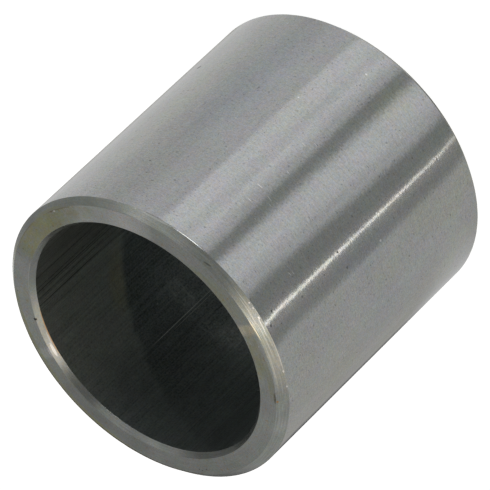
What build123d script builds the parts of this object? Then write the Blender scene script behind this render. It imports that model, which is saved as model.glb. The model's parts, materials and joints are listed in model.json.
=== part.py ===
from build123d import *
import os

# A short steel spacer sleeve in one piece, standing on one end. Millimetres, +Z up.
# The origin is the middle of the lower end of the ground outside.

length = 33.0
bore_diameter = 26.0
# The wall's thickness where it is even all round.
wall = 3.0

# The bore and both ends are turned in one setting, and the outside is ground in another.
# The turned shape lies this far off the middle of the ground outside, towards +X,
# so on that side the wall is thinner and the outer bevels are narrower.
turning_offset = 0.14

# The bevel round the outside of each end, at 45 degrees: its width where it is even.
outer_bevel = 0.75
# The bevel at each mouth of the bore: its width across the end, and its depth inwards.
mouth_bevel_width = 0.43
mouth_bevel_depth = 0.52

# The turned shape stands this far proud of the ground outside where they are closest,
# so that its outer bevels cross the ground outside all the way round.
grinding_stock = 0.3

# Radii of the turned shape about its own middle line, and of the ground outside.
bore_radius = bore_diameter / 2
mouth_radius = bore_radius + mouth_bevel_width
outside_radius = bore_radius + wall
face_radius = outside_radius - outer_bevel
blank_radius = outside_radius + abs(turning_offset) + grinding_stock
blank_bevel = blank_radius - face_radius

turning_plane = Plane((turning_offset, 0, 0), x_dir=(1, 0, 0), z_dir=(0, -1, 0))
turning_line = Axis(turning_plane.origin, (0, 0, 1))


with BuildPart() as spacer:
    # The turned shape, from half its section: bore, mouth bevels, end faces, outer bevels.
    with BuildSketch(turning_plane):
        with BuildLine():
            Polyline(
                (bore_radius, mouth_bevel_depth),
                (mouth_radius, 0),
                (face_radius, 0),
                (blank_radius, blank_bevel),
                (blank_radius, length - blank_bevel),
                (face_radius, length),
                (mouth_radius, length),
                (bore_radius, length - mouth_bevel_depth),
                close=True,
            )
        make_face()
    revolve(axis=turning_line)

    # Grinding leaves only what lies inside a plain cylinder about the part's own middle.
    with BuildSketch(Plane.XY):
        Circle(outside_radius)
    extrude(amount=length, mode=Mode.INTERSECT)

spacer.part.label = "spacer"

os.makedirs("parts", exist_ok=True)
export_step(spacer.part, "parts/spacer.step")
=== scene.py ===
import json
import math
from types import SimpleNamespace

import bpy
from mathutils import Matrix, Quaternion, Vector, noise


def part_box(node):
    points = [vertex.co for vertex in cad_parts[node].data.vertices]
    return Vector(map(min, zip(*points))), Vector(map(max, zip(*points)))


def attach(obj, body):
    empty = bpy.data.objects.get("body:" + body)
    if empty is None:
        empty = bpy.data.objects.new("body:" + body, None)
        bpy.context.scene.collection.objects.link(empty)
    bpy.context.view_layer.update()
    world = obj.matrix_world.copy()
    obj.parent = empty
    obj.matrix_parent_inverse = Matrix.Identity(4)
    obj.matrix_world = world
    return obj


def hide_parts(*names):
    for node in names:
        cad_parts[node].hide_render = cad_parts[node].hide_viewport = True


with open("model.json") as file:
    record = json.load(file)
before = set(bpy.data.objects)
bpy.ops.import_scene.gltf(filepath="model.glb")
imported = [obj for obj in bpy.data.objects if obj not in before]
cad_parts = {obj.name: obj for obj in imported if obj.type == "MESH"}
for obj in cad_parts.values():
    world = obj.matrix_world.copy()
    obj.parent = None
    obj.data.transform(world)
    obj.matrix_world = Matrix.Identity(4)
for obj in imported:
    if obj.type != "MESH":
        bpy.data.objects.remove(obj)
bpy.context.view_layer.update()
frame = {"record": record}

# Sizes in metres, angles in degrees. Angles round the sleeve are azimuths: 0 faces -Y, where the
# camera stands, and 90 faces -X. The sleeve stands on the floor, +Z up.
MM = 0.001

# Sizes of the solid, read from the frame.
low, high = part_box("spacer")
mounts = {m["name"]: m for m in frame["record"]["mounts"]}
OUTSIDE_RADIUS = mounts["outside"]["dims"]["r_mm"] * MM
BORE_RADIUS = mounts["bore"]["dims"]["r_mm"] * MM
TURNING_OFFSET = mounts["bore"]["pos_m"][0]
LENGTH = high.z - low.z

# Sizes of the solid that the frame doesn't state.
OUTER_BEVEL = 0.75 * MM
MOUTH_BEVEL_WIDTH = 0.43 * MM
MOUTH_BEVEL_DEPTH = 0.52 * MM
FACE_RADIUS = OUTSIDE_RADIUS - OUTER_BEVEL
MOUTH_RADIUS = BORE_RADIUS + MOUTH_BEVEL_WIDTH

# Steps of the mesh: round the sleeve, round each worn edge, and along each surface of the section.
STEPS_ROUND = 1080
STEPS_EDGE = 4
STEPS_ALONG = {"mouth": 3, "face": 4, "bevel": 4, "outside": 14, "bore": 10}


def azimuth_vector(azimuth, elevation=0.0):
    """The direction that an azimuth and an elevation point to, outwards from the sleeve."""
    a, e = math.radians(azimuth), math.radians(elevation)
    return Vector((-math.sin(a) * math.cos(e), -math.cos(a) * math.cos(e), math.sin(e)))


def add_object(name, data):
    """A new object that holds data, in the scene."""
    thing = bpy.data.objects.new(name, data)
    bpy.context.scene.collection.objects.link(thing)
    return thing


# The camera. The photograph's frame is square, and the lens is long, so the sleeve shows little
# perspective. The lens and the sensor are in millimetres. The sidestep, along the frame's own width,
# puts the sleeve where it is in the photograph.

CAMERA_ELEVATION = 36.615
CAMERA_DISTANCE = 572.7 * MM
CAMERA_LENS = 441.4
CAMERA_SENSOR = 36.0
CAMERA_CLIP = (0.01, 10.0)
CAMERA_ROLL = -133.66
CAMERA_SIDESTEP = 0.172 * MM


def make_camera():
    data = bpy.data.cameras.new("camera")
    data.lens = CAMERA_LENS
    data.sensor_width = CAMERA_SENSOR
    data.clip_start, data.clip_end = CAMERA_CLIP
    camera = add_object("camera", data)
    middle = (low + high) / 2
    towards_camera = azimuth_vector(0, CAMERA_ELEVATION)
    level = (-towards_camera).to_track_quat("-Z", "Y")
    aim = level @ Quaternion((0, 0, 1), math.radians(CAMERA_ROLL))
    camera.rotation_mode = "QUATERNION"
    camera.rotation_quaternion = aim
    sidestep = aim @ Vector((-CAMERA_SIDESTEP, 0, 0))
    camera.location = middle + towards_camera * CAMERA_DISTANCE + sidestep
    bpy.context.scene.camera = camera


# Shader nodes.

class Nodes:
    """One node tree. Each method adds nodes to it and gives back the socket that comes out."""

    def __init__(self, tree):
        self.tree = tree

    def add(self, kind, inputs=None, output=0, **settings):
        node = self.tree.nodes.new(kind)
        for name, value in settings.items():
            setattr(node, name, value)
        for name, value in (inputs or {}).items():
            if isinstance(value, bpy.types.NodeSocket):
                self.tree.links.new(value, node.inputs[name])
            else:
                node.inputs[name].default_value = value
        return node.outputs[output]

    def math(self, operation, *values):
        return self.add("ShaderNodeMath", dict(enumerate(values)), operation=operation)

    def total(self, *terms):
        """The sum of amount * (value - middle) over terms of (amount, value, middle).

        A term of (amount, 1.0, 0.0) just adds the amount.
        """
        result = 0.0
        for amount, value, middle in terms:
            result = self.math("MULTIPLY_ADD", self.math("SUBTRACT", value, middle), amount, result)
        return result

    def squares(self, a, b):
        """The sum of two values' squares."""
        return self.math("ADD", self.math("MULTIPLY", a, a), self.math("MULTIPLY", b, b))

    def step(self, value, start, end, before=0.0, after=1.0):
        """Goes smoothly from before to after as value goes from start to end."""
        return self.add("ShaderNodeMapRange", {"Value": value, "From Min": start, "From Max": end,
                        "To Min": before, "To Max": after}, interpolation_type="SMOOTHSTEP")

    def mix(self, share, a, b, blend="MIX"):
        def colour(value):
            return value if isinstance(value, bpy.types.NodeSocket) else (*value, 1.0)
        return self.add("ShaderNodeMix", {"Factor": share, "A": colour(a), "B": colour(b)},
                        output="Result", data_type="RGBA", blend_type=blend)

    def scaled(self, colour, amount):
        return self.add("ShaderNodeVectorMath", {0: colour, "Scale": amount}, operation="SCALE")

    def place(self, middle_x=0.0, facing=1):
        """Where a point is, in millimetres and degrees, about an upright line at middle_x.

        With facing -1 the azimuth is 0 at the back of the sleeve, and grows the same way round.
        """
        here = self.add("ShaderNodeTexCoord", output="Object")
        mm = self.add("ShaderNodeVectorMath", {0: here, "Scale": 1 / MM}, operation="SCALE")
        parts = self.add("ShaderNodeSeparateXYZ", {0: mm}).node.outputs
        x = self.math("SUBTRACT", parts["X"], middle_x / MM)
        y = parts["Y"]
        radius = self.math("SQRT", self.squares(x, y))
        angle = self.math("ARCTAN2", self.math("MULTIPLY", x, -facing),
                          self.math("MULTIPLY", y, -facing))
        azimuth = self.math("DEGREES", angle)
        return SimpleNamespace(x=x, y=y, z=parts["Z"], radius=radius, azimuth=azimuth)

    def noise(self, place, round_size, along_size, along, detail=2.0, seed=0.0):
        """Noise from 0 to 1, its features this large in mm round the sleeve and along a coordinate."""
        vector = self.add("ShaderNodeCombineXYZ", {
            "X": self.math("DIVIDE", place.x, round_size),
            "Y": self.math("DIVIDE", place.y, round_size),
            "Z": self.math("MULTIPLY_ADD", along, 1 / along_size, seed),
        })
        return self.add("ShaderNodeTexNoise", {"Vector": vector, "Scale": 1.0, "Detail": detail})

    def mark(self, place, along, azimuth, height, length, width, lean=0.0, soft=0.6):
        """1 on a small oval mark, 0 off it. The mark lies round the sleeve, turned up by lean degrees.

        height is where it is along the coordinate, and length and width are its half sizes in mm.
        """
        turn = self.math("WRAP", self.math("SUBTRACT", place.azimuth, azimuth), 180.0, -180.0)
        u = self.math("MULTIPLY", self.math("RADIANS", turn), place.radius)
        v = self.math("SUBTRACT", along, height)
        c, s = math.cos(math.radians(lean)), math.sin(math.radians(lean))
        across = self.total((c / length, u, 0.0), (s / length, v, 0.0))
        beside = self.total((-s / width, u, 0.0), (c / width, v, 0.0))
        return self.step(self.squares(across, beside), 1.0, 1.0 - soft)


# The studio. The tints of its lights:

WHITE = (1.0, 1.0, 1.0)
COOL = (0.99, 0.99, 1.02)
GREENISH = (0.98, 1.015, 0.99)
CREAM = (1.015, 1.0, 0.97)
WARM = (1.03, 1.0, 0.94)
WARMER = (1.09, 1.0, 0.89)

# What the outside mirrors: soft panels and dark cloths hung lower than the sleeve, seen only in its
# sides. Each hangs in front of those before it, from one azimuth to another. Each edge fades over its
# own number of degrees, and then come how bright it is and its tint. Behind them is a plain wall.
LOW_WALL = 0.462
LOW_PANELS = (
    (-181, -112, 6, 60, 0.625, WHITE),
    (-181, -167, 4, 12, 0.355, WARM),
    (-80, -50, 34, 4, 0.565, COOL),
    (-52.8, -12, 1.6, 4, 0.755, COOL),
    (-38, -30, 8, 4, 0.66, COOL),
    (-23, -12, 12, 4, 0.53, COOL),
    (-14.5, 0, 5, 4, 0.29, GREENISH),
    (-4.4, 32, 8, 4, 0.68, COOL),
    (13.9, 32, 12, 4, 0.53, COOL),
    (24.7, 63.5, 9, 9, 0.262, GREENISH),
    (50, 63.5, 6, 9, 0.29, WHITE),
    (40, 55, 6, 10, 0.31, WHITE),
    (44, 53, 3, 8, 0.37, CREAM),
    (118, 158, 30, 14, 0.43, CREAM),
    (146, 158, 14, 14, 0.38, CREAM),
    (166, 181, 14, 4, 0.175, WARM),
)
# A narrow bright gap in front of them: its azimuths and fades, the heights over which it gets brighter,
# and how bright it is below and above them. A height is the upright part of a direction.
GAP_PLACE = (46.0, 47.9, 1.0, 1.0)
GAP_HEIGHTS = (-0.63, -0.595)
GAP_LIGHT = (1.05, 2.0)
# What the ends and bevels mirror: the room above, in the same way.
HIGH_WALL = 0.245
HIGH_PANELS = (
    (-92, -40, 26, 44, 0.405, WHITE),
    (-24, 20, 34, 24, 0.22, WHITE),
    (28, 96, 26, 30, 0.62, WARMER),
    (92, 148, 26, 26, 0.36, WHITE),
)
# Round lamps, which show as glints: azimuth, elevation, half width, brightness and tint.
LAMPS = (
    (50, 47, 6, 0.8, WARM),
    (-74, 41, 6, 0.3, WHITE),
    (-27, 2, 9, 2.5, WHITE),
    (35, 12, 11, 0.8, WARM),
    (-175, -25, 7, 0.8, WHITE),
)
# A round dark cloth, in the same way.
CLOTH = (172, -24.5, 14, 0.11, WHITE)
# A round thing fades between these shares of its half width.
DISC_FADE = (1.3, 0.7)
# The heights over which the low ring gives way to the room above.
LOW_RING_TOP = (-0.44, -0.24)
# What the camera sees behind the sleeve.
BACKDROP = (1.0, 1.0, 1.0)


def hang_panels(nodes, azimuth, wall, panels):
    """The light that comes from each azimuth of a ring of panels."""
    light = nodes.scaled(WHITE, wall)
    for start, end, start_fade, end_fade, brightness, tint in panels:
        begun = nodes.step(azimuth, start - start_fade / 2, start + start_fade / 2)
        ended = nodes.step(azimuth, end - end_fade / 2, end + end_fade / 2, 1.0, 0.0)
        light = nodes.mix(nodes.math("MULTIPLY", begun, ended), light, nodes.scaled(tint, brightness))
    return light


def make_studio():
    world = bpy.data.worlds.new("studio")
    bpy.context.scene.world = world
    world.use_nodes = True
    world.node_tree.nodes.clear()
    nodes = Nodes(world.node_tree)
    direction = nodes.add("ShaderNodeTexCoord", output="Generated")
    parts = nodes.add("ShaderNodeSeparateXYZ", {0: direction}).node.outputs
    turn = nodes.math("ARCTAN2", nodes.math("MULTIPLY", parts["X"], -1.0),
                      nodes.math("MULTIPLY", parts["Y"], -1.0))
    azimuth = nodes.math("DEGREES", turn)
    gap = (*GAP_PLACE, nodes.step(parts["Z"], *GAP_HEIGHTS, *GAP_LIGHT), WARM)
    low_ring = hang_panels(nodes, azimuth, LOW_WALL, (*LOW_PANELS, gap))
    high_ring = hang_panels(nodes, azimuth, HIGH_WALL, HIGH_PANELS)
    light = nodes.mix(nodes.step(parts["Z"], *LOW_RING_TOP), low_ring, high_ring)

    def disc(azimuth, elevation, half_width):
        """1 within a round thing seen in that direction, 0 off it."""
        towards = azimuth_vector(azimuth, elevation)
        nearness = nodes.add("ShaderNodeVectorMath", {0: direction, 1: towards}, output="Value",
                             operation="DOT_PRODUCT")
        edge, heart = (math.cos(math.radians(half_width * share)) for share in DISC_FADE)
        return nodes.step(nearness, edge, heart)

    *where, brightness, tint = CLOTH
    light = nodes.mix(disc(*where), light, [brightness * channel for channel in tint])
    for *where, brightness, tint in LAMPS:
        glow = nodes.scaled([brightness * channel for channel in tint], disc(*where))
        light = nodes.add("ShaderNodeVectorMath", {0: light, 1: glow}, operation="ADD")
    seen = nodes.add("ShaderNodeLightPath", output="Is Camera Ray")
    colour = nodes.mix(seen, light, BACKDROP)
    background = nodes.add("ShaderNodeBackground", {"Color": colour})
    output = world.node_tree.nodes.new("ShaderNodeOutputWorld")
    world.node_tree.links.new(background, output.inputs["Surface"])


# The table top: half its width, how much it glows, and its colour.
FLOOR_HALF = 1.5
FLOOR_GLOW = 0.82
FLOOR_COLOUR = (0.85, 0.85, 0.85)
# Degrees between the corners of its round parts.
RIM_STEP = 5
# Its part inside the bore lies this much higher, and stays this far clear of the bore's mouth.
BORE_FLOOR_RISE = 0.02 * MM
BORE_FLOOR_CLEARANCE = 0.1 * MM
BORE_FLOOR_GLOW = 0.045
# A brighter stretch of table that only the foot of the sleeve's -X side mirrors: its light, the height
# it lies at, the radii and azimuths it lies between, and those over which its edges fade, these radii
# in millimetres.
FOOT_LIGHT = 0.53
FOOT_RISE = 0.01 * MM
FOOT_RADII = (16.05 * MM, 27.0 * MM)
FOOT_AZIMUTHS = (50, 150)
FOOT_FADE_RADII = (25.0, 17.5)
FOOT_FADE_AZIMUTHS = (55, 88)


def make_floor(name, corners, glow):
    """A pale stretch of table top through corners, lit a little from below."""
    mesh = bpy.data.meshes.new(name)
    mesh.from_pydata(corners, [], [range(len(corners))])
    floor = add_object(name, mesh)
    material = bpy.data.materials.new(name)
    material.use_nodes = True
    shader = material.node_tree.nodes["Principled BSDF"]
    shader.inputs["Base Color"].default_value = (*FLOOR_COLOUR, 1.0)
    shader.inputs["Roughness"].default_value = 1.0
    shader.inputs["Specular IOR Level"].default_value = 0.0
    shader.inputs["Emission Color"].default_value = (1.0, 1.0, 1.0, 1.0)
    shader.inputs["Emission Strength"].default_value = glow
    mesh.materials.append(material)
    return floor


def make_floors():
    """The table top, which the sleeve's bright sides don't mirror, and its unlit part inside the bore.

    The dark bore mirrors the unlit part. The camera sees the table top there.
    """
    square = [(x * FLOOR_HALF, y * FLOOR_HALF, low.z) for x, y in ((-1, -1), (1, -1), (1, 1), (-1, 1))]
    make_floor("floor", square, FLOOR_GLOW).visible_glossy = False
    radius = MOUTH_RADIUS - BORE_FLOOR_CLEARANCE
    rim = [azimuth_vector(-azimuth) * radius for azimuth in range(0, 360, RIM_STEP)]
    rise = low.z + BORE_FLOOR_RISE
    corners = [(p.x + TURNING_OFFSET, p.y, rise) for p in rim]
    make_floor("floor_in_bore", corners, BORE_FLOOR_GLOW).visible_camera = False


def make_foot_light():
    """The brighter stretch of table beside the sleeve's foot, soft at its edges."""
    inner, outer = FOOT_RADII
    first, last = FOOT_AZIMUTHS
    rim = [azimuth_vector(azimuth) for azimuth in range(first, last + 1, RIM_STEP)]
    height = low.z + FOOT_RISE
    corners = [(p.x * r, p.y * r, height) for r in (inner, outer) for p in rim]
    count = len(rim)
    faces = [(i, i + 1, count + i + 1, count + i) for i in range(count - 1)]
    mesh = bpy.data.meshes.new("foot_light")
    mesh.from_pydata(corners, [], faces)
    stretch = add_object("foot_light", mesh)
    material = bpy.data.materials.new("foot_light")
    material.use_nodes = True
    material.node_tree.nodes.clear()
    nodes = Nodes(material.node_tree)
    place = nodes.place()
    share = nodes.math("MULTIPLY", nodes.step(place.radius, *FOOT_FADE_RADII),
                       nodes.step(place.azimuth, *FOOT_FADE_AZIMUTHS))
    lit = nodes.add("ShaderNodeEmission", {"Strength": FOOT_LIGHT})
    unlit = nodes.add("ShaderNodeBsdfTransparent")
    surface = nodes.add("ShaderNodeMixShader", {0: share, 1: unlit, 2: lit})
    output = material.node_tree.nodes.new("ShaderNodeOutputMaterial")
    material.node_tree.links.new(surface, output.inputs["Surface"])
    mesh.materials.append(material)
    stretch.visible_camera = False
    stretch.visible_diffuse = False
    stretch.visible_shadow = False


# The sleeve's mesh.

# How far each sharp edge is worn round, from the lower bore edge out and up and back to the upper bore
# edge: where it is least worn, and where it is most, in mm.
EDGE_WEAR = (
    (0.03, 0.06), (0.03, 0.08), (0.03, 0.12), (0.03, 0.12),
    (0.012, 0.045), (0.015, 0.05), (0.02, 0.06), (0.03, 0.07),
)
# From the least wear to the most, an edge is worn by the square of a share: this much, and more or less
# along the edge, in short and in long stretches. These are how many stretches a mm has, and by how much
# they change the share.
MIDDLING_WEAR = 0.35
SHORT_CHANGES = (1.4, 0.7)
LONG_CHANGES = (0.25, 0.5)
# Places where an edge is worn or nicked more: the edge, azimuth, half width and depth in mm.
OUTSIDE_EDGE, FACE_EDGE = 4, 5
WORN_PLACES = (
    (OUTSIDE_EDGE, -15, 3.4, 0.14), (OUTSIDE_EDGE, -28.5, 1.5, 0.22), (FACE_EDGE, 37, 4.5, 0.17),
    (FACE_EDGE, -38, 3.0, 0.05), (FACE_EDGE, -145, 1.2, 0.08), (FACE_EDGE, 150, 0.3, 0.08),
    (FACE_EDGE, 158, 0.3, 0.10), (FACE_EDGE, 126, 0.3, 0.09), (FACE_EDGE, -171, 0.25, 0.10),
)


def wear(azimuth, edge):
    """How far an edge is worn round at an azimuth. Each edge, numbered, is worn in its own way."""
    along = azimuth_vector(azimuth) * OUTSIDE_RADIUS / MM
    short_rate, short_most = SHORT_CHANGES
    long_rate, long_most = LONG_CHANGES
    short = noise.noise(along * short_rate + Vector((0, 0, 7.3 * edge)))
    long = noise.noise(along * long_rate + Vector((0, 0, 3.1 * edge + 40)))
    share = min(max(MIDDLING_WEAR + short_most * short + long_most * long, 0.0), 1.0)
    least, most = EDGE_WEAR[edge]
    worn = least + (most - least) * share ** 2
    for at_edge, middle, half_width, depth in WORN_PLACES:
        if at_edge == edge:
            turn = math.radians((azimuth - middle + 180) % 360 - 180)
            gap = turn * OUTSIDE_RADIUS / (half_width * MM)
            worn = max(worn, depth * max(0.0, 1 - gap * gap))
    return worn * MM


def rounded(corners, wears):
    """The outline through corners, each worn round over its own length, as (radius, height, surface).

    A corner is (radius, height, name of the surface that follows it).
    """
    count = len(corners)
    points = []
    for i, (r, z, surface) in enumerate(corners):
        here = Vector((r, z))
        before = Vector(corners[i - 1][:2])
        after = Vector(corners[(i + 1) % count][:2])
        start = here + (before - here).normalized() * wears[i]
        end = here + (after - here).normalized() * wears[i]
        for s in range(STEPS_EDGE + 1):
            t = s / STEPS_EDGE
            point = start * (1 - t) ** 2 + here * 2 * t * (1 - t) + end * t ** 2
            points.append((point.x, point.y, surface if t >= 0.5 else corners[i - 1][2]))
        next_start = after + (here - after).normalized() * wears[(i + 1) % count]
        steps = STEPS_ALONG[surface]
        for s in range(1, steps):
            point = end.lerp(next_start, s / steps)
            points.append((point.x, point.y, surface))
    return points


def outside_from_turned_line(azimuth):
    """The ground outside's distance from the turned shape's own line, at an azimuth about it."""
    x = azimuth_vector(azimuth).x
    across = TURNING_OFFSET * math.sqrt(1 - x * x)
    return math.sqrt(OUTSIDE_RADIUS ** 2 - across ** 2) - TURNING_OFFSET * x


def section(azimuth):
    """The sleeve's closed section at an azimuth about the turned line, worn edges included."""
    outside = outside_from_turned_line(azimuth)
    bevel = outside - FACE_RADIUS
    lower = [
        (BORE_RADIUS, MOUTH_BEVEL_DEPTH, "mouth"),
        (MOUTH_RADIUS, 0, "face"),
        (FACE_RADIUS, 0, "bevel"),
        (outside, bevel, "outside"),
    ]
    upper = [
        (outside, LENGTH - bevel, "bevel"),
        (FACE_RADIUS, LENGTH, "face"),
        (MOUTH_RADIUS, LENGTH, "mouth"),
        (BORE_RADIUS, LENGTH - MOUTH_BEVEL_DEPTH, "bore"),
    ]
    corners = lower + upper
    return rounded(corners, [wear(azimuth, number) for number in range(len(corners))])


def make_sleeve(materials):
    """The whole sleeve as one closed mesh, swept round the turned line."""
    vertices, faces, finishes = [], [], []
    names = list(materials)
    for step in range(STEPS_ROUND):
        azimuth = 360 * step / STEPS_ROUND
        outwards = azimuth_vector(azimuth)
        outline = section(azimuth)
        for r, z, _ in outline:
            vertices.append((outwards.x * r + TURNING_OFFSET, outwards.y * r, low.z + z))
    rows = len(outline)
    for step in range(STEPS_ROUND):
        here, there = step * rows, (step + 1) % STEPS_ROUND * rows
        for row in range(rows):
            after = (row + 1) % rows
            faces.append((here + row, there + row, there + after, here + after))
            finishes.append(names.index(outline[row][2]))
    mesh = bpy.data.meshes.new("sleeve")
    mesh.from_pydata(vertices, [], faces)
    for material in materials.values():
        mesh.materials.append(material)
    mesh.polygons.foreach_set("material_index", finishes)
    mesh.polygons.foreach_set("use_smooth", [True] * len(faces))
    mesh.update()
    sleeve = add_object("sleeve", mesh)
    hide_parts("spacer")
    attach(sleeve, "root")


# The finishes. Colours are linear.

STEEL = (0.541, 0.55, 0.536)
BEVEL_STEEL = (0.527, 0.55, 0.507)
FACE_STEEL = (0.556, 0.58, 0.541)
MOUTH_STEEL = (0.547, 0.57, 0.532)
# The bore's colours, darker than the ends' steel.
BORE_DARK = (0.225, 0.254, 0.248)
BORE_DARK_WARM = (0.238, 0.255, 0.236)
BORE_DARK_YELLOW = (0.27, 0.265, 0.19)
TARNISH = (0.545, 0.555, 0.505)
BLUISH = (0.524, 0.551, 0.563)
LIGHT = (0.77, 0.80, 0.755)
DARK = (0.413, 0.43, 0.403)
# The colour of painted shade on the mouth's bevel.
PAINTED_SHADE = (0.24, 0.25, 0.235)
STAIN = (0.575, 0.575, 0.35)
BROWN = (0.36, 0.29, 0.19)
OLIVE = (0.258, 0.247, 0.187)
RUST = (0.62, 0.36, 0.16)
PIT = (0.05, 0.05, 0.045)
BRIGHT = (1.0, 0.99, 0.97)
# The colour of painted glints.
PAINTED_GOLD_GLINT = (1.0, 0.93, 0.72)

# Faint changes of any colour, as factors: the specks', the clouds' and the stains' dots.
WARM_SPECK, COOL_SPECK = (1.04, 1.0, 0.93), (0.96, 1.0, 1.07)
PINK_CLOUD, GREEN_CLOUD = (1.015, 0.985, 1.02), (0.98, 1.015, 0.985)
STAIN_DOT = (1.05, 0.75, 0.5)
STAIN_DOTS_SHARE = 0.6


# The shader's tangent runs round the sleeve, as the grooves do. Highlights are drawn out across them.
ACROSS_TANGENT = 0.25


def metal(name, finish, anisotropy, metallic=1.0):
    """A metal whose colour, roughness and height in mm come from a function of its nodes."""
    material = bpy.data.materials.new(name)
    material.use_nodes = True
    nodes = Nodes(material.node_tree)
    shader = material.node_tree.nodes["Principled BSDF"]
    shader.inputs["Metallic"].default_value = metallic
    shader.inputs["Anisotropic"].default_value = anisotropy
    shader.inputs["Anisotropic Rotation"].default_value = ACROSS_TANGENT
    colour, roughness, height = finish(nodes)
    bump = nodes.add("ShaderNodeBump", {"Height": height, "Distance": MM, "Strength": 1.0})
    round_axis = nodes.add("ShaderNodeTangent", direction_type="RADIAL", axis="Z")
    sockets = {"Base Color": colour, "Roughness": roughness, "Normal": bump, "Tangent": round_axis}
    for socket, value in sockets.items():
        material.node_tree.links.new(value, shader.inputs[socket])
    return material


def speckled(nodes, colour, place, along):
    """The colour with faint specks, cooler and warmer, and faint clouds, greener and pinker."""
    specks = nodes.noise(place, 0.22, 0.2, along, detail=1, seed=71)
    clouds = nodes.noise(place, 1.3, 1.5, along, detail=2, seed=67)
    speck_tint = nodes.mix(nodes.step(specks, 0.3, 0.7), WARM_SPECK, COOL_SPECK)
    cloud_tint = nodes.mix(nodes.step(clouds, 0.3, 0.7), PINK_CLOUD, GREEN_CLOUD)
    return nodes.mix(1.0, nodes.mix(1.0, colour, speck_tint, "MULTIPLY"), cloud_tint, "MULTIPLY")


def add_marks(nodes, colour, place, along, marks, soft=0.6, uneven=1.0):
    """The colour with marks laid over it.

    A mark is (azimuth, height, length, width, lean, share, colour). uneven is how much of the marks
    shows from place to place.
    """
    for azimuth, height, length, width, lean, share, tint in marks:
        spot = nodes.mark(place, along, azimuth, height, length, width, lean, soft)
        share = nodes.math("MULTIPLY", uneven, share)
        colour = nodes.mix(nodes.math("MULTIPLY", spot, share), colour, tint)
    return colour


# Scratches, pits and bright specks on the outside, by their height above the floor.
OUTSIDE_MARKS = (
    (-5.9, 22.74, 0.40, 0.05, 13, 0.8, BRIGHT), (-11.2, 22.36, 0.40, 0.05, 0, 0.8, BRIGHT),
    (-10.3, 24.36, 0.27, 0.05, 0, 0.7, BRIGHT), (-4.2, 23.25, 0.24, 0.05, 11, 0.6, BRIGHT),
    (-4.4, 25.6, 0.12, 0.05, 0, 0.6, BRIGHT), (-8.0, 19.0, 0.30, 0.05, 8, 0.6, BRIGHT),
    (-8.6, 14.4, 0.30, 0.05, 5, 0.5, BRIGHT), (-11.1, 15.3, 0.35, 0.05, 5, 0.5, BRIGHT),
    (-14.0, 4.0, 0.15, 0.12, 0, 0.8, BRIGHT), (-24.7, 11.0, 0.12, 0.10, 0, 0.7, BRIGHT),
    (17.0, 26.6, 0.28, 0.05, -10, 0.9, BRIGHT), (17.4, 26.2, 0.25, 0.05, -10, 0.7, BRIGHT),
    (31.4, 15.0, 0.15, 0.12, 0, 1.0, BRIGHT),
    (21.9, 30.7, 0.17, 0.13, 0, 0.7, PIT), (25.5, 31.6, 0.20, 0.14, 0, 0.6, PIT),
    (25.9, 26.7, 0.15, 0.12, 0, 0.5, PIT), (25.8, 23.1, 0.12, 0.12, 0, 0.45, PIT),
    (23.2, 20.4, 0.14, 0.14, 0, 0.8, PIT), (29.9, 20.2, 0.16, 0.12, 0, 0.45, PIT),
    (26.5, 18.7, 0.10, 0.35, 0, 0.25, BRIGHT), (33.0, 23.0, 0.14, 0.10, 0, 0.4, PIT),
    (-48.0, 25.8, 0.16, 0.12, 0, 0.5, PIT), (-34.0, 27.2, 0.15, 0.12, 0, 0.35, PIT),
    (45.0, 12.0, 0.14, 0.12, 0, 0.4, PIT), (-74.5, 9.2, 0.35, 0.28, 0, 0.9, PIT),
    (-69.0, 20.9, 0.25, 0.10, 0, 0.4, PIT),
)

# Where the outside is faintly yellow or blue.
OUTSIDE_SHADES = (
    (-1, 4.5, 2.2, 4.0, 0, 0.9, TARNISH), (-24, 12.0, 2.5, 5.0, 0, 0.4, TARNISH),
    (-86, 5.0, 3.0, 7.0, 0, 1.0, TARNISH), (-86, 20.0, 2.5, 12.0, 0, 0.5, TARNISH),
    (-62, 18.0, 2.2, 14.0, 0, 0.5, TARNISH), (-43, 12.0, 3.5, 13.0, 0, 0.9, BLUISH),
    (29, 17.0, 2.8, 7.0, 0, 0.7, BLUISH), (58, 16.0, 4.0, 7.0, 0, 0.5, BLUISH),
)


# The azimuths past which the outside is tarnished in patches.
TARNISHED_AZIMUTHS = (12.0, 32.0)
# The ground outside isn't quite true: lower down and towards -X it stands this much proud, in mm.
UNTRUE_HEIGHTS = (31.0, 3.0)
UNTRUE_AZIMUTHS = (-5.0, 24.5)
UNTRUE_BY = 0.262
# How deep the scoring is in mm, higher up and lower down.
SCORING_HEIGHTS = (28.0, 4.0)
SCORING_DEPTHS = (0.0034, 0.0052)


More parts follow.
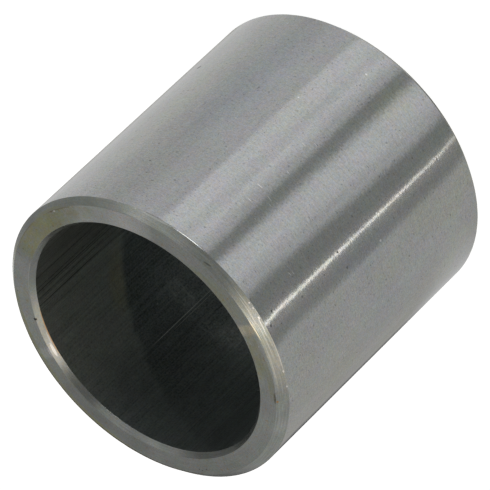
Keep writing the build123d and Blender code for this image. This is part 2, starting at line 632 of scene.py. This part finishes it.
def ground_outside(nodes):
    """Fine grinding streaks round the sleeve, a close grain, flecks, small pits and light scratches."""
    place = nodes.place()
    z = place.z
    streaks = nodes.noise(place, 0.6, 0.13, z, detail=3)
    scoring = nodes.noise(place, 0.6, 0.13, z, detail=1, seed=29)
    ripples = nodes.noise(place, 0.55, 0.32, z, detail=1, seed=43)
    grain = nodes.noise(place, 0.15, 0.12, z, detail=1, seed=7)
    blotches = nodes.noise(place, 3.5, 5.0, z, detail=3, seed=31)
    lines = nodes.noise(place, 0.35, 12.0, z, detail=2, seed=5)
    waves = nodes.noise(place, 4.0, 6.0, z, detail=2, seed=19)
    flecks = nodes.step(nodes.noise(place, 0.28, 0.2, z, detail=1, seed=11), 0.66, 0.76)
    sparks = nodes.step(nodes.noise(place, 0.40, 0.12, z, detail=1, seed=83), 0.70, 0.80)
    tone = nodes.total((0.55, grain, 0.5), (0.40, streaks, 0.5), (0.16, blotches, 0.5),
                       (0.14, lines, 0.5), (-0.35, flecks, 0.0), (0.30, sparks, 0.0), (1.0, 1.0, 0.0))
    patches = nodes.noise(place, 5.0, 7.0, z, detail=2, seed=57)
    tarnish = nodes.math("MULTIPLY", nodes.step(patches, 0.45, 0.7),
                         nodes.step(place.azimuth, *TARNISHED_AZIMUTHS))
    colour = nodes.mix(tarnish, STEEL, TARNISH)
    colour = add_marks(nodes, colour, place, z, OUTSIDE_SHADES, soft=1.0)
    colour = speckled(nodes, nodes.scaled(colour, tone), place, z)
    colour = add_marks(nodes, colour, place, z, OUTSIDE_MARKS)
    rough_spots = nodes.noise(place, 0.5, 0.3, z, seed=3)
    roughness = nodes.total((0.06, rough_spots, 0.5), (0.11, 1.0, 0.0))
    untrue = nodes.math("MULTIPLY", nodes.step(z, *UNTRUE_HEIGHTS),
                        nodes.step(place.azimuth, *UNTRUE_AZIMUTHS))
    depth = nodes.step(z, *SCORING_HEIGHTS, *SCORING_DEPTHS)
    scoring = nodes.math("MULTIPLY", nodes.math("SUBTRACT", scoring, 0.5), depth)
    height = nodes.total((1.0, scoring, 0.0), (0.0035, ripples, 0.5), (0.0008, grain, 0.5),
                         (0.012, waves, 0.5), (UNTRUE_BY, untrue, 0.0))
    return colour, roughness, height


# The rings show best towards -X: the azimuths over which they fade in, and how much of them shows.
RINGS_AZIMUTHS = (-45, 5)
RINGS_SHOWN = (0.4, 1.0)


def turned(base, rough, rough_spread, ring_depth, contrast, tones_and_painted_light=(), stains=(), marks=()):
    """A turned surface at an end: rings at the tool's feed, a close grain, mottling and stains.

    base is its colour, ring_depth is in mm, and contrast is how much the rings show in the colour.
    The patches laid softly on the colour are lighter and darker tone, painted glints and painted shade;
    the marks laid on last include painted glints too.
    """
    def finish(nodes):
        place = nodes.place(TURNING_OFFSET)
        radius = place.radius
        rings = nodes.noise(place, 2.5, 0.09, radius, detail=2)
        grain = nodes.noise(place, 0.2, 0.15, place.z, detail=1, seed=7)
        mottling = nodes.noise(place, 2.0, 2.0, place.z, detail=3, seed=31)
        shown = nodes.math("MULTIPLY", nodes.math("SUBTRACT", rings, 0.5),
                           nodes.step(place.azimuth, *RINGS_AZIMUTHS, *RINGS_SHOWN))
        tone = nodes.total((0.35, grain, 0.5), (contrast, shown, 0.0), (0.35, mottling, 0.5),
                           (1.0, 1.0, 0.0))
        colour = add_marks(nodes, base, place, radius, tones_and_painted_light, soft=1.0)
        if stains:
            patches = nodes.noise(place, 0.6, 0.6, radius, detail=3, seed=47)
            mottled = nodes.step(patches, 0.3, 0.65, 0.3, 1.0)
            colour = add_marks(nodes, colour, place, radius, stains, 0.6, mottled)
            dots = nodes.step(nodes.noise(place, 0.3, 0.3, radius, detail=1, seed=91), 0.62, 0.74)
            dotted = nodes.mix(nodes.math("MULTIPLY", dots, STAIN_DOTS_SHARE), WHITE, STAIN_DOT)
            colour = nodes.mix(1.0, colour, dotted, "MULTIPLY")
        colour = nodes.scaled(speckled(nodes, colour, place, radius), tone)
        colour = add_marks(nodes, colour, place, radius, marks)
        rough_spots = nodes.noise(place, 1.5, 0.3, radius, seed=3)
        roughness = nodes.total((rough_spread, rough_spots, 0.5), (rough, 1.0, 0.0))
        return colour, roughness, nodes.math("MULTIPLY", rings, ring_depth)
    return finish


# Marks on the end, by their distance from the turned line. Among them are painted glints and painted
# shade.
# Tone of the end. The glints of its turned grooves are painted in: at 24 (golden), -38.5, -156.5, 143
# and -147 degrees, and the light patch at -53 is the broad foot of the -38.5 glint, painted too. The
# other patches are lighter and darker tone.
FACE_TONES_AND_PAINTED_GLINTS = (
    (24, 14.4, 0.75, 5.0, 0, 0.9, PAINTED_GOLD_GLINT), (-53, 14.3, 6.0, 4.0, 0, 1.0, LIGHT),
    (-38.5, 14.3, 3.2, 4.0, 0, 0.85, BRIGHT),
    (-156.5, 14.3, 0.8, 4.0, 0, 0.75, LIGHT), (-156.5, 13.5, 0.7, 0.3, 0, 1.0, BRIGHT),
    (143, 14.2, 1.2, 2.0, 0, 0.35, LIGHT), (-147, 13.5, 1.2, 0.3, 0, 0.3, LIGHT),
    (30, 14.5, 1.6, 1.4, 0, 0.6, LIGHT), (36, 15.15, 2.8, 0.3, 0, 0.6, LIGHT),
    (-130, 14.3, 7.0, 4.0, 0, 0.5, LIGHT),
    (72, 14.3, 6.5, 4.0, 0, 0.35, LIGHT), (46, 13.6, 2.0, 0.7, 0, 0.5, LIGHT),
    (-12, 14.8, 4.5, 2.0, 0, 0.25, LIGHT), (-31, 14.9, 2.5, 1.5, 0, 0.2, LIGHT),
    (152, 14.6, 9.0, 4.0, 0, 0.32, DARK), (178, 14.6, 4.5, 4.0, 0, 0.45, DARK),
    (115, 14.9, 5.0, 1.5, 0, 0.15, DARK), (0, 13.9, 3.0, 1.5, 0, 0.2, DARK),
)
FACE_STAINS = (
    (-91, 14.3, 4.4, 3.2, 0, 1.0, STAIN), (-78, 14.45, 4.4, 1.5, 0, 0.6, STAIN),
    (-66, 14.6, 3.6, 0.9, 0, 0.4, STAIN),
    (35, 14.1, 3.6, 0.8, -6, 0.7, STAIN), (4, 13.75, 3.6, 0.5, 0, 0.5, STAIN),
    (-168, 15.0, 9.5, 0.35, 0, 0.9, STAIN), (168, 15.05, 4.5, 0.3, 0, 0.7, STAIN),
    (-140, 15.05, 4.0, 0.3, 0, 0.6, STAIN), (54, 15.1, 0.8, 0.16, 0, 0.9, OLIVE),
    (46, 14.8, 3.0, 0.40, 0, 0.5, STAIN), (-128, 13.9, 1.2, 0.4, 0, 0.4, STAIN),
    (10, 14.3, 3.0, 0.9, 0, 0.3, STAIN),
)
FACE_MARKS = (
    (-72, 15.18, 2.2, 0.07, 0, 0.6, BROWN), (-76.0, 15.16, 0.18, 0.10, 20, 0.9, BROWN),
    (-74.3, 15.10, 0.17, 0.10, 0, 1.0, BRIGHT), (-80.4, 13.82, 0.11, 0.09, 0, 0.7, BROWN),
    (-108.5, 15.0, 0.7, 0.05, 70, 0.5, BROWN), (-95, 15.2, 2.0, 0.05, 0, 0.4, BROWN),
    (-104.8, 14.65, 0.10, 0.10, 0, 0.4, PIT), (-140.2, 13.55, 0.17, 0.14, 0, 1.0, PIT),
    (-117, 13.52, 2.3, 0.04, 0, 0.5, BRIGHT), (-150, 14.6, 0.12, 0.08, 30, 0.4, BRIGHT),
    (-128, 14.9, 0.10, 0.07, 0, 0.5, PIT), (122.3, 14.68, 0.08, 0.08, 0, 0.9, PIT),
    (121.0, 14.80, 0.07, 0.07, 0, 0.8, PIT), (118.6, 14.64, 0.08, 0.08, 0, 0.9, PIT),
    (-168, 15.2, 7.0, 0.10, 0, 0.85, OLIVE), (158, 15.2, 8.0, 0.14, 0, 0.9, OLIVE),
    (132, 15.2, 3.5, 0.08, 0, 0.8, OLIVE),
    (-33.1, 15.1, 0.12, 0.10, 0, 0.4, BRIGHT), (31.2, 14.82, 0.09, 0.08, 0, 0.9, BRIGHT),
)
# On the bevel: stains, rust and a pit, and painted light. The golden line at 24.4 and the bright
# streaks and specks between 12 and 49 and between -43.6 and -32.3 are painted glints, with two darker
# lines among them at 18 and 34; the light patch at -28.2 is a painted highlight on the worn facet
# there.
BEVEL_MARKS_AND_PAINTED_GLINTS = (
    (-110, 15.42, 2.0, 0.22, 0, 0.6, STAIN), (-78, 15.36, 2.6, 0.12, 0, 0.5, STAIN),
    (55.3, 15.33, 0.15, 0.10, 0, 1.0, RUST), (42.8, 16.03, 0.16, 0.06, 0, 1.0, BRIGHT),
    (49.2, 16.05, 0.14, 0.06, 0, 1.0, BRIGHT), (38, 16.04, 2.4, 0.03, 0, 0.5, BRIGHT),
    (-4, 15.5, 0.5, 0.06, 8, 0.5, PIT), (24.4, 15.32, 1.3, 0.05, 2, 1.0, PAINTED_GOLD_GLINT),
    (24.6, 15.86, 1.2, 0.04, -2, 0.8, BRIGHT), (17, 15.60, 1.8, 0.04, 0, 0.4, BRIGHT),
    (29, 15.66, 2.4, 0.04, 0, 0.35, BRIGHT), (38, 15.45, 2.2, 0.05, 0, 0.25, BRIGHT),
    (12, 15.74, 1.6, 0.04, 0, 0.35, BRIGHT), (15.0, 15.95, 0.12, 0.07, 0, 1.0, BRIGHT),
    (17.2, 15.95, 0.10, 0.06, 0, 0.9, BRIGHT), (21.1, 15.94, 0.18, 0.07, 0, 1.0, BRIGHT),
    (18, 15.50, 2.6, 0.04, 0, 0.35, DARK), (34, 15.55, 2.8, 0.04, 0, 0.35, DARK),
    (-28.2, 15.93, 2.0, 0.16, 0, 0.8, LIGHT), (-43.6, 15.90, 0.12, 0.06, 0, 0.5, BRIGHT),
    (-36.2, 15.90, 0.12, 0.06, 0, 0.6, BRIGHT), (-32.3, 15.92, 0.22, 0.06, 0, 0.8, BRIGHT),
)
# Painted shade: the mouth's bevel is darkened at these azimuths.
MOUTH_PAINTED_SHADE = (
    (106, 13.2, 7.5, 2.0, 0, 0.85, PAINTED_SHADE), (-106, 13.2, 6.0, 2.0, 0, 0.5, PAINTED_SHADE),
    (145, 13.2, 5.5, 2.0, 0, 0.55, PAINTED_SHADE), (-175, 13.2, 3.3, 2.0, 0, 0.75, PAINTED_SHADE),
)
# A pit and a rust line on the mouth's bevel, and a painted glint: the bright streaks at -156 and
# -150.5.
MOUTH_MARKS_AND_PAINTED_GLINT = (
    (-156, 13.2, 0.9, 0.10, 0, 1.0, BRIGHT), (-150.5, 13.12, 0.8, 0.06, 0, 0.4, BRIGHT),
    (-140.2, 13.42, 0.15, 0.08, 0, 1.0, PIT), (-148, 13.02, 3.2, 0.05, 0, 0.8, RUST),
)


# Marks in the bore, by their height, at azimuths that are 0 at the back.
BORE_MARKS = (
    (-4.0, 18.3, 0.035, 6.2, 0, 0.8, LIGHT), (-5.3, 16.8, 0.03, 4.6, 0, 0.6, LIGHT),
    (-57.5, 22.3, 0.16, 0.08, 0, 0.8, LIGHT),
    (45.2, 27.5, 0.07, 6.5, 0, 0.8, PIT), (48.4, 27.5, 0.05, 7.0, 0, 0.7, PIT),
    (52.2, 27.5, 0.08, 7.0, 0, 0.8, PIT), (54.0, 29.0, 0.05, 5.0, 0, 0.5, PIT),
    (40.3, 26.0, 0.05, 6.0, 0, 0.4, PIT), (60.0, 28.5, 0.06, 6.0, 0, 0.6, PIT),
    (65.0, 30.0, 0.05, 5.0, 0, 0.5, PIT),
    (46.7, 28.0, 0.03, 6.0, 0, 0.4, LIGHT), (50.3, 27.0, 0.03, 6.0, 0, 0.4, LIGHT),
)
# Where the bore's dark colour is warmer or paler.
BORE_SHADES = (
    (28, 22.1, 4.2, 1.4, -27, 0.7, BORE_DARK_YELLOW),
    (4, 16.7, 2.8, 1.5, 0, 0.08, LIGHT), (-25, 16.6, 2.6, 2.2, 0, 0.10, LIGHT),
)
# Where the bore's dark colour is paler in small rubbed scratches.
BORE_SMEARS = (
    (3.5, 16.6, 2.3, 1.5, 0, 0.3, LIGHT), (8.0, 19.4, 0.35, 0.5, 0, 0.6, LIGHT),
    (-26, 16.9, 2.0, 1.5, 0, 0.35, LIGHT), (-17, 17.4, 1.8, 1.6, 0, 0.25, LIGHT),
)

# The azimuths here are 0 at the back too. Light is painted into the bore's tone. It is paler above a
# line that slants round it: the line's height at the back, how far it falls in a degree, and over what
# height it fades.
PALE_LINE_HEIGHT = 24.3
PALE_LINE_FALL = 0.118
PALE_LINE_FADE = (-0.5, 0.5)
# How much paler it is there, from one azimuth to another, and what is left of that past two more.
PALE_AZIMUTHS, PALE_LIGHT = (-50, 30), (0.2, 0.54)
PALE_END_AZIMUTHS, PALE_END_LIGHT = (35, 50), (1.0, 0.6)
# Its tone, which changes round the bore, and how much of that is added for each mm below a height, here
# with a minus. The part added lower down is painted light.
BASE_AZIMUTHS, BASE_LIGHT = (-50, -10), (1.07, 0.72)
DEEPER_FROM = 31.5
DEEPER_AZIMUTHS, DEEPER_LIGHT = (-45, -10), (-0.045, 0.0)
# How much paler again its lowest part is, on the same side of the back: a painted reflection of the
# floor.
DEEPEST_HEIGHTS = (22.0, 15.0)
DEEPEST_AZIMUTHS, DEEPEST_LIGHT = (5, 30), (0.35, 0.0)
# Where its streaks are deep scores, and where its painted light is warmer.
SCORED_AZIMUTHS = (36.0, 44.0)
WARM_AZIMUTHS = (-20, 15)


def dark_bore(nodes):
    """The dark bore, with streaks and scratches along it, and painted light: paler towards its mouth on
    one side, and paler low down where it mirrors the floor.
    """
    place = nodes.place(TURNING_OFFSET, facing=-1)
    z = place.z
    streaks = nodes.noise(place, 0.16, 14.0, z, detail=3)
    grain = nodes.noise(place, 0.16, 0.2, z, detail=1, seed=7)
    smears = nodes.noise(place, 1.2, 2.5, z, detail=4, seed=23)
    # Painted light: the bore is paler above a line that slants round it, towards its mouth.
    above_line = nodes.total((1.0, z, PALE_LINE_HEIGHT), (PALE_LINE_FALL, place.azimuth, 0.0),
                             (1.0, smears, 0.5))
    painted_lit_part = nodes.step(above_line, *PALE_LINE_FADE)

    def round_it(azimuths, light):
        """Goes smoothly from one light to the other from one azimuth to the other."""
        return nodes.step(place.azimuth, *azimuths, *light)

    painted_light = nodes.math("MULTIPLY", painted_lit_part, round_it(PALE_AZIMUTHS, PALE_LIGHT))
    painted_light = nodes.math("MULTIPLY", painted_light, round_it(PALE_END_AZIMUTHS, PALE_END_LIGHT))
    scored = nodes.step(place.azimuth, *SCORED_AZIMUTHS)
    scores = nodes.math("MULTIPLY", scored, nodes.math("SUBTRACT", streaks, 0.5))
    base = round_it(BASE_AZIMUTHS, BASE_LIGHT)
    tone = nodes.total((1.0, streaks, 0.5), (1.1, grain, 0.5), (0.5, smears, 0.5), (1.0, painted_light, 0.0),
                       (1.2, scores, 0.0), (0.05, scored, 0.0), (1.0, base, 0.0))
    # More painted light: paler lower down at azimuths below -10, and a painted reflection of the floor
    # in its lowest part.
    painted_light_lower = nodes.math("MULTIPLY", nodes.math("SUBTRACT", z, DEEPER_FROM),
                        round_it(DEEPER_AZIMUTHS, DEEPER_LIGHT))
    painted_floor_reflection = nodes.math("MULTIPLY", nodes.step(z, *DEEPEST_HEIGHTS),
                         round_it(DEEPEST_AZIMUTHS, DEEPEST_LIGHT))
    depth = nodes.total((1.0, painted_light_lower, 0.0), (1.0, painted_floor_reflection, 0.0), (1.0, 1.0, 0.0))
    tone = nodes.math("MULTIPLY", tone, depth)
    warm = nodes.math("MULTIPLY", painted_lit_part, nodes.step(place.azimuth, *WARM_AZIMUTHS))
    colour = nodes.mix(warm, BORE_DARK, BORE_DARK_WARM)
    colour = add_marks(nodes, colour, place, z, BORE_SHADES, soft=1.0)
    colour = nodes.scaled(speckled(nodes, colour, place, z), tone)
    rubbed = nodes.step(nodes.noise(place, 0.45, 0.3, z, detail=3, seed=61), 0.48, 0.68)
    colour = add_marks(nodes, colour, place, z, BORE_SMEARS, 1.0, rubbed)
    colour = add_marks(nodes, colour, place, z, BORE_MARKS)
    rough_streaks = nodes.noise(place, 0.3, 5.0, z, seed=3)
    roughness = nodes.total((0.2, rough_streaks, 0.5), (0.42, 1.0, 0.0))
    return colour, roughness, nodes.math("MULTIPLY", streaks, 0.012)


make_camera()
make_studio()
make_floors()
make_foot_light()
bevel = turned(BEVEL_STEEL, rough=0.24, rough_spread=0.15, ring_depth=0.02, contrast=0.75,
               marks=BEVEL_MARKS_AND_PAINTED_GLINTS)
face = turned(FACE_STEEL, rough=0.22, rough_spread=0.02, ring_depth=0.001, contrast=0.4,
              tones_and_painted_light=FACE_TONES_AND_PAINTED_GLINTS, stains=FACE_STAINS, marks=FACE_MARKS)
mouth = turned(MOUTH_STEEL, rough=0.28, rough_spread=0.15, ring_depth=0.006, contrast=0.5,
               tones_and_painted_light=MOUTH_PAINTED_SHADE, marks=MOUTH_MARKS_AND_PAINTED_GLINT)
make_sleeve({
    "outside": metal("ground_outside", ground_outside, anisotropy=0.6),
    "bevel": metal("turned_bevel", bevel, anisotropy=0.5),
    "face": metal("faced_end", face, anisotropy=1.0),
    "mouth": metal("turned_mouth", mouth, anisotropy=0.5),
    "bore": metal("dark_bore", dark_bore, anisotropy=0.0, metallic=0.82),
})
bpy.context.scene.view_settings.view_transform = "Standard"
